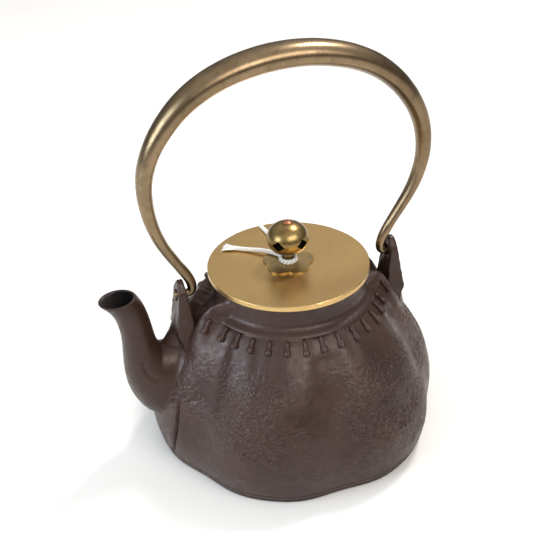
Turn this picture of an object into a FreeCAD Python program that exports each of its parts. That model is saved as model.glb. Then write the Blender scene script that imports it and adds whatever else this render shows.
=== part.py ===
import FreeCAD, Part
import math
import os

from FreeCAD import Vector

# Cast iron tetsubin shaped like a drawn pouch, in millimetres.
# Origin at the centre of the base, +Z up, spout towards -X, handle arch in the XZ plane.

# ---- kettle body -----------------------------------------------------------
LOBE_COUNT = 6
FIRST_VALLEY_DEG = 30.0
WALL_LEVELS = [(3.0, 85.2), (12.0, 87.4), (24.0, 88.4), (38.0, 86.2), (52.0, 81.2),
               (64.0, 74.4), (74.0, 66.8), (82.0, 59.6)]
VALLEY_DEPTH = 3.8
VALLEY_FADE_START = 62.0
SECTION_POINTS = 72
WALL_THICKNESS = 3.4
CAVITY_TOP = 78.0

CAVITY_FLARE = [(55.4, 77.0), (48.4, 84.5), (40.0, 90.0)]

SHOULDER_RADIUS = 58.4
SHOULDER_BOTTOM = 80.0
SHOULDER_TOP = 82.6
PLEAT_TOP_RADIUS = 52.4
PLEAT_TOP_HEIGHT = 88.9
RIDGE_RADIUS = 49.8
RIDGE_HEIGHT = 91.7
RIDGE_BAND = 1.2
NECK_FOOT_RADIUS = 45.6
NECK_FOOT_HEIGHT = 93.8
NECK_FLARE = 1.6
NECK_RADIUS = 44.5
MOUTH_RADIUS = 40.0
RIM_HEIGHT = 106.8
RIM_BEVEL = 0.8
# how far a cutting or joining shape runs past the face that it has to meet
OVERLAP = 1.0
# longer than the whole kettle, for shapes that cut right through a part
THROUGH = 200.0

# ---- pleats round the shoulder ---------------------------------------------
PLEATS_PER_SIDE = 15
FIRST_PLEAT_DEG = 15.5
PLEAT_ROD_RADIUS = 1.0
PLEAT_BEAD_RADIUS = 1.5
PLEAT_TOP = (52.6, 88.8)
PLEAT_FOOT = (58.0, 83.0)

# ---- raised folds of the pouch's mouth, one each side of a lug ------------------
# each runs from the neck to the lug's edge: (x, y, top height)
FOLD_NECK = (44.0, 12.4, 102.0)
FOLD_LUG = (61.8, 9.3, 86.5)
FOLD_BOTTOM = 79.0
FOLD_THICKNESS = 3.0

# ---- base plate ------------------------------------------------------------
BASE_THICKNESS = 3.0
BASE_INSET = 0.6
BASE_BEVEL = 0.8
SPIGOT_HEIGHT = 2.0
SPIGOT_CLEARANCE = 0.3
SPIGOT_WIDTH = 6.0

# ---- spout -----------------------------------------------------------------
# each section runs from an inner point to an outer point (x, z), with its half width in Y
SPOUT_SECTIONS = [((-72.0, 74.0), (-72.0, 26.0), 16.5),
                  ((-79.5, 73.6), (-89.0, 27.5), 16.2),
                  ((-81.2, 75.2), (-99.3, 41.5), 14.6),
                  ((-82.4, 78.0), (-102.8, 58.0), 12.4),
                  ((-83.6, 84.0), (-102.3, 76.0), 10.0),
                  ((-85.0, 93.0), (-102.8, 90.0), 9.0),
                  ((-87.6, 103.5), (-106.2, 101.0), 9.0),
                  ((-91.2, 110.4), (-112.6, 109.0), 9.8)]
SPOUT_SPLIT = 3
SPOUT_SECTION_POINTS = 16
SPOUT_WALL = 2.8
SPOUT_LIP_WALL = 1.7
SPOUT_INLET_X = -66.0

# ---- lugs ------------------------------------------------------------------
PIVOT_HEIGHT = 104.0
LUG_HOLE_RADIUS = 3.4
LUG_TOP = 113.4
LUG_CORNER_HEIGHT = 106.2
LUG_TOP_OUTER_X = 67.2
LUG_TOP_INNER_X = 63.3
LUG_FOOT_OUTER_X = 72.6
LUG_FOOT_INNER_X = 61.1
LUG_FOOT_HEIGHT = 64.0
LUG_CORNER_HALF_WIDTH = 7.0
LUG_CREST_HALF_WIDTH = 3.15
LUG_CREST_HEIGHT = 112.0
LUG_WAIST_HALF_WIDTH = 7.8
LUG_WAIST_HEIGHT = 92.0
LUG_FOOT_HALF_WIDTH = 12.5

# ---- lid -------------------------------------------------------------------
LID_RADIUS = 47.5
LID_TOP = 110.0
LID_EDGE_ROUND = 0.5
COLLAR_OUTER_RADIUS = 39.4
COLLAR_WALL = 1.5
COLLAR_DEPTH = 9.0

# ---- knob ------------------------------------------------------------------
PETALS = 5
PETAL_OFFSET = 7.9
PETAL_RADIUS = 7.4
FIRST_NOTCH_DEG = 251.0
FLOWER_THICKNESS = 1.0
SLEEVE_RADIUS = 3.0
KNOB_RADIUS = 12.3
KNOB_HALF_HEIGHT = 10.0
KNOB_BOTTOM = 116.5
KNOB_SHELL = 0.9
KNOB_HOLES = 5
FIRST_KNOB_HOLE_DEG = 223.0
KNOB_HOLE_HALF_WIDTH = 4.0
KNOB_HOLE_HALF_HEIGHT = 3.3
SHANK_RADIUS = 1.5
FIXED_BORE_CLEARANCE = 0.05
KNOB_BORE_CLEARANCE = 0.06
AXIAL_PLAY = 0.1
RIVET_HEAD_RADIUS = 2.9
RIVET_HEAD_HEIGHT = 1.0
RIVET_WASHER_RADIUS = 6.0
RIVET_WASHER_THICKNESS = 0.8

# ---- handle ----------------------------------------------------------------
# centre line of one half of the arch (x, z), from the hook to the crown; the hand-bent arch
# leans a little towards the rear lug
ARCH_HALF = [(59.6, 112.6), (63.4, 120.0), (73.9, 138.0), (81.2, 160.0), (80.3, 183.0),
             (69.4, 205.0), (51.5, 222.0), (30.0, 231.6)]
ARCH_CROWN_HEIGHT = 235.8
ARCH_SKEW = 2.4
ARCH_SKEW_START = 125.0
ARCH_SKEW_END = 155.0
TUBE_END_PARAMETER = 0.025
TUBE_SECTIONS = 25
TUBE_WALL = 1.2
END_THICKNESS = 2.9
CROWN_THICKNESS = 7.4
END_WIDTH = 3.0
CROWN_WIDTH = 9.4
SWELL_POWER = 1.6
HANDLE_SECTION_POINTS = 12
# hook centre line below the tube (x, z, half thickness)
HOOK_POINTS = [(58.9, 110.2, 2.8), (58.6, 107.4, 2.7), (59.3, 105.2, 2.5), (61.2, 104.15, 2.4),
               (64.5, 104.0, 2.3), (68.8, 104.0, 2.1)]
PLUG_LENGTH = 6.0
PLUG_RADIUS = 1.55
HOOK_SPLIT = 3

# ---- tie string on the knob ------------------------------------------------
STRING_RADIUS = 1.3
LOOP_RADIUS = 4.4
LOOP_HEIGHT = 112.4
FRONT_TAIL = [(-2.4, 3.8, 112.5), (-6.2, 9.8, 112.6), (-11.8, 15.0, 112.5),
              (-17.5, 19.6, 111.6), (-23.2, 23.6, 111.4), (-28.2, 27.3, 111.4)]
BACK_TAIL = [(0.6, 4.4, 112.5), (0.6, 10.5, 112.6), (0.2, 17.5, 112.5),
             (-0.3, 25.5, 111.6), (-0.9, 34.6, 111.4), (-2.1, 44.4, 111.4)]
ARC_SHARE = 0.45


def polar(radius, degrees, height):
    angle = math.radians(degrees)
    return Vector(radius * math.cos(angle), radius * math.sin(angle), height)


def closed_wire(points):
    """Smooth closed curve with evenly spaced knots, so that sections loft into one another cleanly."""
    curve = Part.BSplineCurve()
    curve.interpolate(Points=points, PeriodicFlag=True, Parameters=list(range(len(points) + 1)))
    return Part.Wire([curve.toShape()])


def lobe_radius(lobe, height, degrees):
    """Radius of the pouch's outside: round lobes with soft valleys between them."""
    valley = (1 + math.cos(math.radians(LOBE_COUNT * (degrees - FIRST_VALLEY_DEG)))) / 2
    top = WALL_LEVELS[-1][0]
    fade = min(1.0, (top - height) / (top - VALLEY_FADE_START))
    return lobe - VALLEY_DEPTH * max(0.0, fade) * valley ** 2


def lobed_wire(lobe, height, offset=0.0, shape_height=None):
    level = height if shape_height is None else shape_height
    points = []
    for index in range(SECTION_POINTS):
        degrees = index * 360.0 / SECTION_POINTS
        points.append(polar(lobe_radius(lobe, level, degrees) - offset, degrees, height))
    return closed_wire(points)


def wall_radius(height):
    """Lobe radius at any height, along a smooth curve through the wall's levels."""
    curve = Part.BSplineCurve()
    curve.interpolate(Points=[Vector(radius, 0, level) for level, radius in WALL_LEVELS])
    plane = Part.Plane(Vector(0, 0, height), Vector(0, 0, 1))
    return curve.intersect(plane)[0][0].X


def revolved(outline):
    """Solid of revolution about Z from (radius, height) points that start and end on the axis."""
    points = [Vector(radius, 0, height) for radius, height in outline]
    face = Part.Face(Part.makePolygon(points + [points[0]]))
    return face.revolve(Vector(0, 0, 0), Vector(0, 0, 1), 360)


def ring(outer, inner, bottom, top):
    outside = Part.makeCylinder(outer, top - bottom, Vector(0, 0, bottom))
    return outside.cut(Part.makeCylinder(inner, top - bottom, Vector(0, 0, bottom)))


def prism(points, direction):
    face = Part.Face(Part.makePolygon(points + [points[0]]))
    return face.extrude(direction)


def mirrored_x(shape):
    return shape.mirror(Vector(0, 0, 0), Vector(1, 0, 0))


def wall_solid():
    return Part.makeLoft([lobed_wire(radius, height) for height, radius in WALL_LEVELS], True)


def shoulder_solid():
    outline = [(0, SHOULDER_BOTTOM), (SHOULDER_RADIUS, SHOULDER_BOTTOM),
               (SHOULDER_RADIUS, SHOULDER_TOP), (PLEAT_TOP_RADIUS, PLEAT_TOP_HEIGHT),
               (RIDGE_RADIUS, RIDGE_HEIGHT - RIDGE_BAND), (RIDGE_RADIUS, RIDGE_HEIGHT),
               (NECK_FOOT_RADIUS, NECK_FOOT_HEIGHT), (NECK_RADIUS, NECK_FOOT_HEIGHT + NECK_FLARE),
               (NECK_RADIUS, RIM_HEIGHT - RIM_BEVEL),
               (NECK_RADIUS - RIM_BEVEL, RIM_HEIGHT), (0, RIM_HEIGHT)]
    return revolved(outline)


def pleat(degrees):
    """One gathered pleat: a short rod down the shoulder with a bead at its foot."""
    top = polar(PLEAT_TOP[0], degrees, PLEAT_TOP[1])
    foot = polar(PLEAT_FOOT[0], degrees, PLEAT_FOOT[1])
    along = foot - top
    rod = Part.makeCylinder(PLEAT_ROD_RADIUS, along.Length, top, along)
    return rod.fuse(Part.makeSphere(PLEAT_BEAD_RADIUS, foot, along))


def pleats():
    spacing = (180 - 2 * FIRST_PLEAT_DEG) / (PLEATS_PER_SIDE - 1)
    pieces = []
    for index in range(PLEATS_PER_SIDE):
        degrees = FIRST_PLEAT_DEG + index * spacing
        pieces += [pleat(degrees), pleat(-degrees)]
    return pieces


def mouth_fold():
    """Upright fold between the neck and a lug's edge (on the +X, +Y side)."""
    start = Vector(FOLD_NECK[0], FOLD_NECK[1], FOLD_BOTTOM)
    end = Vector(FOLD_LUG[0], FOLD_LUG[1], FOLD_BOTTOM)
    across = (end - start).cross(Vector(0, 0, 1)).normalize() * FOLD_THICKNESS
    outline = [start, end, Vector(*FOLD_LUG), Vector(*FOLD_NECK)]
    return prism([point - across * 0.5 for point in outline], across)


def outside_solid():
    body = wall_solid().fuse(shoulder_solid())
    rear = [mouth_fold(), mouth_fold().mirror(Vector(0, 0, 0), Vector(0, 1, 0))]
    return body.fuse(rear + [mirrored_x(fold) for fold in rear])


def cavity_solid():
    levels = [level for level in WALL_LEVELS if level[0] < CAVITY_TOP]
    wires = [lobed_wire(radius, height, WALL_THICKNESS) for height, radius in levels]
    wires.append(lobed_wire(wall_radius(CAVITY_TOP), CAVITY_TOP, WALL_THICKNESS))
    belly = Part.makeLoft(wires, True)
    roof = [(0, CAVITY_FLARE[0][1])] + CAVITY_FLARE
    roof += [(MOUTH_RADIUS, RIM_HEIGHT + OVERLAP), (0, RIM_HEIGHT + OVERLAP)]
    return belly.fuse(revolved(roof))


def spout_ring(section, wall):
    """Spout section as a closed curve that always starts on its inner side, so lofts don't twist."""
    inner, outer, half_width = section
    start = Vector(inner[0], 0, inner[1])
    end = Vector(outer[0], 0, outer[1])
    centre = (start + end) * 0.5
    reach = (start - end) * 0.5
    reach *= (reach.Length - wall) / reach.Length
    across = Vector(0, half_width - wall, 0)
    points = []
    for index in range(SPOUT_SECTION_POINTS):
        angle = 2 * math.pi * index / SPOUT_SECTION_POINTS
        points.append(centre + reach * math.cos(angle) + across * math.sin(angle))
    return closed_wire(points)


def tube_loft(wires, split):
    """Bent tube lofted in two spans that meet at one section."""
    return Part.makeLoft(wires[:split + 1], True).fuse(Part.makeLoft(wires[split:], True))


def spout_outside():
    return tube_loft([spout_ring(section, 0) for section in SPOUT_SECTIONS], SPOUT_SPLIT)


def spout_passage():
    """Water way of the spout, with a straight run through the kettle's wall."""
    inner, outer, width = SPOUT_SECTIONS[0]
    start = ((SPOUT_INLET_X, inner[1]), (SPOUT_INLET_X, outer[1]), width)
    wires = [spout_ring(section, SPOUT_WALL) for section in [start] + SPOUT_SECTIONS[:-1]]
    mouth = spout_ring(SPOUT_SECTIONS[-1], SPOUT_LIP_WALL)
    passage = tube_loft(wires + [mouth], SPOUT_SPLIT + 1)
    return passage.fuse(Part.Face(mouth).extrude(Vector(0, 0, SPOUT_LIP_WALL)))


def kettle_body(outside, passage):
    body = outside.cut(cavity_solid()).cut(passage)
    return body.fuse(pleats()).removeSplitter()


def base_plate():
    bottom_radius, level = WALL_LEVELS[0][1] - BASE_INSET, WALL_LEVELS[0][0]
    wires = [lobed_wire(bottom_radius - BASE_BEVEL, 0, 0, level),
             lobed_wire(bottom_radius, BASE_BEVEL, 0, level),
             lobed_wire(bottom_radius, BASE_THICKNESS, 0, level)]
    disc = Part.makeLoft(wires, True, True)
    inset = WALL_THICKNESS + SPIGOT_CLEARANCE
    top = BASE_THICKNESS + SPIGOT_HEIGHT
    spigot = Part.makeLoft([lobed_wire(WALL_LEVELS[0][1], height, inset, level)
                            for height in (BASE_THICKNESS - OVERLAP, top)], True, True)
    bore = Part.makeLoft([lobed_wire(WALL_LEVELS[0][1], height, inset + SPIGOT_WIDTH, level)
                          for height in (BASE_THICKNESS, top + OVERLAP)], True, True)
    return disc.fuse(spigot.cut(bore)).removeSplitter()


def spout(outside, passage):
    return spout_outside().cut(outside).cut(passage)


def lug(outside):
    """Tall plate with a pointed top that carries the handle's hook (on the +X side)."""
    side = [(LUG_TOP_INNER_X, LUG_TOP), (LUG_TOP_OUTER_X, LUG_TOP),
            (LUG_FOOT_OUTER_X, LUG_FOOT_HEIGHT), (LUG_FOOT_INNER_X, LUG_FOOT_HEIGHT)]
    side = [Vector(x, -THROUGH / 2, z) for x, z in side]
    half_front = [(LUG_FOOT_HALF_WIDTH, LUG_FOOT_HEIGHT), (LUG_WAIST_HALF_WIDTH, LUG_WAIST_HEIGHT),
                  (LUG_CORNER_HALF_WIDTH, LUG_CORNER_HEIGHT),
                  (LUG_CREST_HALF_WIDTH, LUG_CREST_HEIGHT)]
    front = [Vector(0, y, z) for y, z in half_front]
    front.append(Vector(0, 0, LUG_TOP))
    front += [Vector(0, -y, z) for y, z in reversed(half_front)]
    plate = prism(side, Vector(0, THROUGH, 0)).common(prism(front, Vector(THROUGH, 0, 0)))
    pivot = Vector(0, 0, PIVOT_HEIGHT)
    hole = Part.makeCylinder(LUG_HOLE_RADIUS, THROUGH, pivot, Vector(1, 0, 0))
    return plate.cut(hole).cut(outside)


def lid_plate():
    thickness = LID_TOP - RIM_HEIGHT
    plate = Part.makeCylinder(LID_RADIUS, thickness, Vector(0, 0, RIM_HEIGHT))
    rims = [edge for edge in plate.Edges if edge.Closed]
    plate = plate.makeFillet(LID_EDGE_ROUND, rims)
    return plate.cut(rivet_bore())


def rivet_bore(clearance=FIXED_BORE_CLEARANCE):
    """Long cylinder on the knob's axis that bores every part the rivet passes through."""
    return Part.makeCylinder(SHANK_RADIUS + clearance, THROUGH, Vector(0, 0, RIM_HEIGHT - THROUGH / 2))


def lid_collar():
    inner = COLLAR_OUTER_RADIUS - COLLAR_WALL
    return ring(COLLAR_OUTER_RADIUS, inner, RIM_HEIGHT - COLLAR_DEPTH, RIM_HEIGHT)


def rivet_washer():
    bottom = RIM_HEIGHT - RIVET_WASHER_THICKNESS
    return ring(RIVET_WASHER_RADIUS, SHANK_RADIUS + FIXED_BORE_CLEARANCE, bottom, RIM_HEIGHT)


def rivet_head(height, upwards):
    """Low domed head: a slice of a sphere on a flat seat."""
    sphere_radius = (RIVET_HEAD_RADIUS ** 2 + RIVET_HEAD_HEIGHT ** 2) / (2 * RIVET_HEAD_HEIGHT)
    sign = 1 if upwards else -1
    centre = height + sign * (RIVET_HEAD_HEIGHT - sphere_radius)
    sphere = Part.makeSphere(sphere_radius, Vector(0, 0, centre))
    low = height if upwards else height - RIVET_HEAD_HEIGHT
    slab = Part.makeCylinder(RIVET_HEAD_RADIUS, RIVET_HEAD_HEIGHT, Vector(0, 0, low))
    return sphere.common(slab)


def knob_rivet():
    top = KNOB_BOTTOM + 2 * KNOB_HALF_HEIGHT + AXIAL_PLAY
    bottom = RIM_HEIGHT - RIVET_WASHER_THICKNESS
    shank = Part.makeCylinder(SHANK_RADIUS, top - bottom, Vector(0, 0, bottom))
    return shank.fuse([rivet_head(top, True), rivet_head(bottom, False)]).removeSplitter()


def flower_washer():
    """Five round petals in a plum blossom outline."""
    petals = []
    for index in range(PETALS):
        degrees = FIRST_NOTCH_DEG + 180 / PETALS + index * 360 / PETALS
        centre = polar(PETAL_OFFSET, degrees, LID_TOP)
        petals.append(Part.makeCylinder(PETAL_RADIUS, FLOWER_THICKNESS, centre))
    flower = petals[0].fuse(petals[1:]).removeSplitter()
    return flower.cut(rivet_bore())


def knob_sleeve():
    bottom = LID_TOP + FLOWER_THICKNESS
    return ring(SLEEVE_RADIUS, SHANK_RADIUS + FIXED_BORE_CLEARANCE, bottom, KNOB_BOTTOM - AXIAL_PLAY)


def flattened_ball(radius, half_height, centre_height):
    matrix = FreeCAD.Matrix()
    matrix.scale(radius, radius, half_height)
    ball = Part.makeSphere(1.0).transformGeometry(matrix)
    ball.translate(Vector(0, 0, centre_height))
    return ball


def knob_holes(centre_height):
    """Diamond openings spaced evenly round the knob's seam."""
    width, height = KNOB_HOLE_HALF_WIDTH, KNOB_HOLE_HALF_HEIGHT
    corners = [(-width, 0), (0, height), (width, 0), (0, -height)]
    points = [Vector(KNOB_RADIUS / 2, y, centre_height + z) for y, z in corners]
    cuts = []
    for index in range(KNOB_HOLES):
        cut = prism(points, Vector(KNOB_RADIUS, 0, 0))
        turn = FIRST_KNOB_HOLE_DEG + index * 360 / KNOB_HOLES
        cut.rotate(Vector(0, 0, 0), Vector(0, 0, 1), turn)
        cuts.append(cut)
    return cuts


def knob_shell(upper):
    """One half of the hollow pierced ball, parted at its widest line."""
    centre_height = KNOB_BOTTOM + KNOB_HALF_HEIGHT
    ball = flattened_ball(KNOB_RADIUS, KNOB_HALF_HEIGHT, centre_height)
    hollow = flattened_ball(KNOB_RADIUS - KNOB_SHELL, KNOB_HALF_HEIGHT - KNOB_SHELL, centre_height)
    low = centre_height if upper else centre_height - 2 * KNOB_HALF_HEIGHT
    half = Part.makeCylinder(2 * KNOB_RADIUS, 2 * KNOB_HALF_HEIGHT, Vector(0, 0, low))
    shell = ball.cut(hollow).common(half)
    return shell.cut(knob_holes(centre_height)).cut(rivet_bore(KNOB_BORE_CLEARANCE))


def arch_skew(height):
    """How far the arch is pushed towards the rear at a height: nothing near its hooks."""
    share = (height - ARCH_SKEW_START) / (ARCH_SKEW_END - ARCH_SKEW_START)
    return ARCH_SKEW * min(1.0, max(0.0, share))


def arch_curve():
    rear = [Vector(x + arch_skew(z), 0, z) for x, z in ARCH_HALF]
    front = [Vector(-x + arch_skew(z), 0, z) for x, z in reversed(ARCH_HALF)]
    curve = Part.BSplineCurve()
    curve.interpolate(rear + [Vector(ARCH_SKEW, 0, ARCH_CROWN_HEIGHT)] + front)
    return curve


def round_section(centre, along, thickness, width):
    """Ellipse across a path in the XZ plane, as a closed curve that starts inside the arch."""
    inward = along.cross(Vector(0, 1, 0))
    inward.normalize()
    points = []
    for index in range(HANDLE_SECTION_POINTS):
        angle = 2 * math.pi * index / HANDLE_SECTION_POINTS
        offset = inward * (thickness * math.cos(angle)) + Vector(0, width * math.sin(angle), 0)
        points.append(centre + offset)
    return closed_wire(points)


def swell(share):
    """0 at the arch's ends, 1 at its crown."""
    return math.sin(math.pi * share) ** SWELL_POWER


def tube_wires(inset):
    curve = arch_curve()
    length = curve.length()
    wires = []
    for index in range(TUBE_SECTIONS):
        share = TUBE_END_PARAMETER + (1 - 2 * TUBE_END_PARAMETER) * index / (TUBE_SECTIONS - 1)
        parameter = curve.parameterAtDistance(length * share)
        centre = curve.value(parameter)
        along = curve.tangent(parameter)[0]
        thickness = END_THICKNESS + (CROWN_THICKNESS - END_THICKNESS) * swell(share)
        width = END_WIDTH + (CROWN_WIDTH - END_WIDTH) * swell(share)
        wires.append(round_section(centre, along, thickness - inset, width - inset))
    return wires


def handle_tube():
    return Part.makeLoft(tube_wires(0), True).cut(Part.makeLoft(tube_wires(TUBE_WALL), True))


def handle_hook():
    """Solid end of the handle on the +X side: a plug in the tube, then a hook through the lug."""
    curve = arch_curve()
    start = curve.parameterAtDistance(curve.length() * TUBE_END_PARAMETER)
    mouth = curve.value(start)
    along = curve.tangent(start)[0]
    path = [(mouth, along, END_THICKNESS)]
    points = [Vector(x, 0, z) for x, z, thickness in HOOK_POINTS]
    for index, point in enumerate(points):
        before = points[index - 1] if index else mouth
        after = points[min(index + 1, len(points) - 1)]
        path.append((point, before - after, HOOK_POINTS[index][2]))
    wires = [round_section(centre, direction, size, size) for centre, direction, size in path]
    bar = tube_loft(wires, HOOK_SPLIT)
    plug = Part.makeCylinder(PLUG_RADIUS, PLUG_LENGTH + OVERLAP, mouth - along * OVERLAP, along)
    return bar.fuse(plug)


def tail_path(points):
    """Straight runs joined by tangent arcs, each as large as its two runs allow."""
    corners = [Vector(*point) for point in points]
    edges = []
    radii = []
    last = corners[0]
    for before, corner, after in zip(corners, corners[1:], corners[2:]):
        incoming = before - corner
        outgoing = after - corner
        shorter = min(incoming.Length, outgoing.Length)
        half_turn = (math.pi - incoming.getAngle(outgoing)) / 2
        setback = ARC_SHARE * shorter
        radii.append(setback / math.tan(half_turn))
        start = corner + incoming.normalize() * setback
        end = corner + outgoing.normalize() * setback
        bisector = (incoming + outgoing).normalize()
        reach = radii[-1] / math.cos(half_turn) - radii[-1]
        edges.append(Part.LineSegment(last, start).toShape())
        edges.append(Part.Arc(start, corner + bisector * reach, end).toShape())
        last = end
    edges.append(Part.LineSegment(last, corners[-1]).toShape())
    return Part.Wire(edges), radii


def string_tail(name, points):
    path, radii = tail_path(points)
    direction = Vector(*points[1]) - Vector(*points[0])
    circle = Part.Circle(Vector(*points[0]), direction, STRING_RADIUS)
    tube = path.makePipeShell([Part.Wire([circle.toShape()])], True, True)
    expected = math.pi * STRING_RADIUS ** 2 * path.Length
    print(name, "length", round(path.Length, 1), "radii", [round(radius, 1) for radius in radii],
          "volume ratio", round(tube.Volume / expected, 3))
    return tube


def string_loop():
    return Part.makeTorus(LOOP_RADIUS, STRING_RADIUS, Vector(0, 0, LOOP_HEIGHT))


def build():
    outside = outside_solid()
    passage = spout_passage()
    rear_lug = lug(outside)
    rear_hook = handle_hook()
    return {
        "kettle_body": kettle_body(outside, passage),
        "base_plate": base_plate(),
        "spout": spout(outside, passage),
        "spout_side_lug": mirrored_x(lug(mirrored_x(outside))),
        "rear_lug": rear_lug,
        "lid_plate": lid_plate(),
        "lid_collar": lid_collar(),
        "rivet_washer": rivet_washer(),
        "knob_rivet": knob_rivet(),
        "flower_washer": flower_washer(),
        "knob_sleeve": knob_sleeve(),
        "knob_lower_shell": knob_shell(False),
        "knob_upper_shell": knob_shell(True),
        "handle_tube": handle_tube(),
        "spout_side_hook": mirrored_x(rear_hook),
        "rear_hook": rear_hook,
        "tie_string_loop": string_loop(),
        "tie_string_front_tail": string_tail("front tail", FRONT_TAIL),
        "tie_string_back_tail": string_tail("back tail", BACK_TAIL),
    }


os.makedirs("parts", exist_ok=True)
for node, shape in build().items():
    shape.exportStep(os.path.join("parts", node + ".step"))
    print(node, "solids", len(shape.Solids), "valid", shape.isValid(), round(shape.Volume, 1))
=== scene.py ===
import math

import bpy
import numpy as np
from mathutils import Matrix, Vector, noise


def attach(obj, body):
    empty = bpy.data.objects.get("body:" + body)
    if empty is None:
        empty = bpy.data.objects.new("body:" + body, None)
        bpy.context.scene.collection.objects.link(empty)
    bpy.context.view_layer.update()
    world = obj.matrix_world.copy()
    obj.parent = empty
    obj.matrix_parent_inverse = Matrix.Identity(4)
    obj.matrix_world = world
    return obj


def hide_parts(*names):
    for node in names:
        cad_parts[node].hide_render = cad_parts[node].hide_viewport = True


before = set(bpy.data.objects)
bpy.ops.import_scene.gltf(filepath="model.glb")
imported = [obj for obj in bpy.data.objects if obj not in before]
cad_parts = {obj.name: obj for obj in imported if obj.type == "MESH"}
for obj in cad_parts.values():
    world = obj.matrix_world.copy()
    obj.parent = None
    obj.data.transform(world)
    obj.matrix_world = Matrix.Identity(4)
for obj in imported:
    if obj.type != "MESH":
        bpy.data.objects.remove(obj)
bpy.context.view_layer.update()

# Looks of the cast iron tetsubin. Shapes are worked out in millimetres and scaled to metres.
MM = 0.001

# ---- driving dimensions, as in part.py --------------------------------------
LOBE_COUNT = 6
FIRST_VALLEY_DEG = 30.0
WALL_LEVELS = [(3.0, 85.2), (12.0, 87.4), (24.0, 88.4), (38.0, 86.2), (52.0, 81.2),
               (64.0, 74.4), (74.0, 66.8), (82.0, 59.6)]
WALL_THICKNESS = 3.4
PIVOT_HEIGHT = 104.0
LID_TOP = 110.0
KNOB_RADIUS = 12.3
KNOB_HALF_HEIGHT = 10.0
KNOB_BOTTOM = 116.5
WALL_FOOT = WALL_LEVELS[0][0]
WALL_TOP = WALL_LEVELS[-1][0]


# ---- small numeric helpers ---------------------------------------------------
def spline(knots, values, where):
    """Natural cubic spline through (knots, values), sampled at where; values may be vectors."""
    knots = np.asarray(knots, float)
    values = np.asarray(values, float)
    values = values.reshape(len(knots), -1)
    count = len(knots)
    gaps = np.diff(knots)
    matrix = np.eye(count)
    right = np.zeros_like(values)
    for i in range(1, count - 1):
        matrix[i, i - 1] = gaps[i - 1]
        matrix[i, i] = 2 * (gaps[i - 1] + gaps[i])
        matrix[i, i + 1] = gaps[i]
        slope_after = (values[i + 1] - values[i]) / gaps[i]
        slope_before = (values[i] - values[i - 1]) / gaps[i - 1]
        right[i] = 6 * (slope_after - slope_before)
    bend = np.linalg.solve(matrix, right)
    where = np.asarray(where, float)
    span = np.clip(np.searchsorted(knots, where) - 1, 0, count - 2)
    gap = gaps[span][:, None]
    ahead = (knots[span + 1] - where)[:, None]
    behind = (where - knots[span])[:, None]
    result = (bend[span] * ahead ** 3 + bend[span + 1] * behind ** 3) / (6 * gap)
    result += (values[span] / gap - bend[span] * gap / 6) * ahead
    result += (values[span + 1] / gap - bend[span + 1] * gap / 6) * behind
    return result if result.shape[1] > 1 else result[:, 0]


def smooth_step(value):
    """Eased rise from 0 to 1, level outside that range."""
    value = np.clip(value, 0, 1)
    return value * value * (3 - 2 * value)


def rise(value, start, end):
    """0 up to start and 1 from end on, eased between; start may be the larger, for a fall."""
    return smooth_step((value - start) / (end - start))


def rounded(points, passes=2, closed=False):
    """Corner cutting, which turns a polyline into a soft one."""
    points = np.asarray(points, float)
    for _ in range(passes):
        following = np.roll(points, -1, axis=0) if closed else points[1:]
        current = points if closed else points[:-1]
        cut = np.empty((2 * len(current), points.shape[1]))
        cut[0::2] = current * 0.75 + following * 0.25
        cut[1::2] = current * 0.25 + following * 0.75
        points = cut if closed else np.vstack([points[:1], cut, points[-1:]])
    return points


def resampled(points, count):
    """The same line with evenly spaced points."""
    steps = np.linalg.norm(np.diff(points, axis=0), axis=1)
    along = np.concatenate([[0], np.cumsum(steps)])
    where = np.linspace(0, along[-1], count)
    return np.column_stack([np.interp(where, along, points[:, k]) for k in range(points.shape[1])])


def unit(vectors):
    """The same directions with length 1."""
    return vectors / np.linalg.norm(vectors, axis=-1, keepdims=True)


def around_axis(radius, turn, height):
    """Points at these radii, angles and heights round the Z axis."""
    height = np.broadcast_to(height, radius.shape)
    return np.stack([radius * np.cos(turn), radius * np.sin(turn), height], axis=-1)


# ---- mesh helpers ------------------------------------------------------------
def grid_faces(rows, columns, close_rows, first):
    """Four-cornered faces between closed rings of points, whose numbers start at first."""
    index = np.arange(rows * columns).reshape(rows, columns) + first
    if close_rows:
        index = np.vstack([index, index[:1]])
    index = np.hstack([index, index[:, :1]])
    corners = [index[:-1, :-1], index[:-1, 1:], index[1:, 1:], index[1:, :-1]]
    return np.stack(corners, axis=-1).reshape(-1, 4)


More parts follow.
